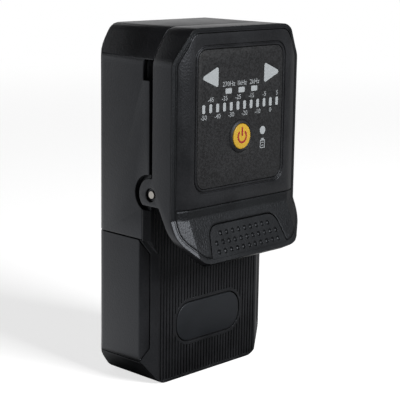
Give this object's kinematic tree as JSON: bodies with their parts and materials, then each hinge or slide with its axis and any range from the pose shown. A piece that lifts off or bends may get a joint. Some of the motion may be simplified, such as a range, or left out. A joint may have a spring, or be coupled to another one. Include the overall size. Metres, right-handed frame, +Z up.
{
  "type": "optical fibre identifier",
  "caption": "Hand-held optical fibre identifier: black case with a pivoting head, sprung jaws at the top, thumb tab, label with level bars, arrows and power button.",
  "frame": {"origin": "middle of the object's width and depth, on the surface under its foot", "axes": "+X to the right of the face, -Y the way the face looks, +Z up along the case"},
  "size_m": [0.0602, 0.0439, 0.12],
  "materials": {
    "shell_black": "fine matte black ABS",
    "front_black": "matte black ABS, ribbed",
    "lever_black": "spark-textured black ABS",
    "label_charcoal": "printed charcoal label film",
    "badge_grey": "satin dark grey plate",
    "clear_window": "frosted clear windows",
    "button_yellow": "satin yellow cap",
    "collar_black": "glossy black ring",
    "inner_black": "matte inner mouldings",
    "jaw_grey": "satin grey jaws",
    "pad_rubber": "soft rubber",
    "pin_steel": "ground steel pin",
    "bright_steel": "plated springs, screws and contacts",
    "board_green": "solder-masked board",
    "chip_black": "moulded components",
    "cell_wrap": "shrink-wrapped cells",
    "guide_white": "white light guide",
    "led_cream": "resin lamps"
  },
  "bodies": {
    "case": {"rear_shell": "shell_black", "front_frame": "front_black", "badge_plate": "badge_grey", "battery_tray": "inner_black", "battery_cells": "cell_wrap", "contact_springs": "bright_steel", "contact_plates": "bright_steel", "hinge_pin": "pin_steel", "pin_rings": "bright_steel", "torsion_spring": "bright_steel", "fixed_jaw": "jaw_grey", "photodiodes": "bright_steel", "detector_board": "board_green", "main_board": "board_green", "board_chips": "chip_black", "buzzer": "chip_black", "case_screws": "bright_steel", "board_screws": "bright_steel", "jaw_screws": "bright_steel"},
    "head": {"head_shell": "shell_black", "rim_frame": "lever_black", "face_plate": "front_black", "lever_cover": "lever_black", "label_panel": "label_charcoal", "arrow_windows": "clear_window", "bar_windows": "clear_window", "tone_windows": "clear_window", "lamp_window": "clear_window", "light_guide": "guide_white", "display_board": "board_green", "display_lamps": "led_cream", "button_switch": "chip_black", "button_collar": "collar_black", "head_cover": "inner_black", "moving_jaw": "jaw_grey", "jaw_pad": "pad_rubber", "head_screws": "bright_steel", "spring_end": "bright_steel"},
    "power_button": {"button_cap": "button_yellow"},
    "door": {"battery_door": "shell_black"}
  },
  "joints": [
    {"name": "head_hinge", "type": "hinge", "parent": "case", "child": "head", "pos_m": [0, -0.00425, 0.0663], "axis": [1, 0, 0], "range_deg": [0, 18], "stiffness_Nm_per_rad": 0.6, "springref_deg": -20.05},
    {"name": "button_press", "type": "slide", "parent": "head", "child": "power_button", "axis": [0, 1, 0], "range_m": [0, 0.0004], "stiffness_N_per_m": 1500, "springref_m": -0.0004},
    {"name": "door_pull", "type": "slide", "parent": "case", "child": "door", "axis": [0, 1, 0], "range_m": [0, 0.03]}
  ]
}
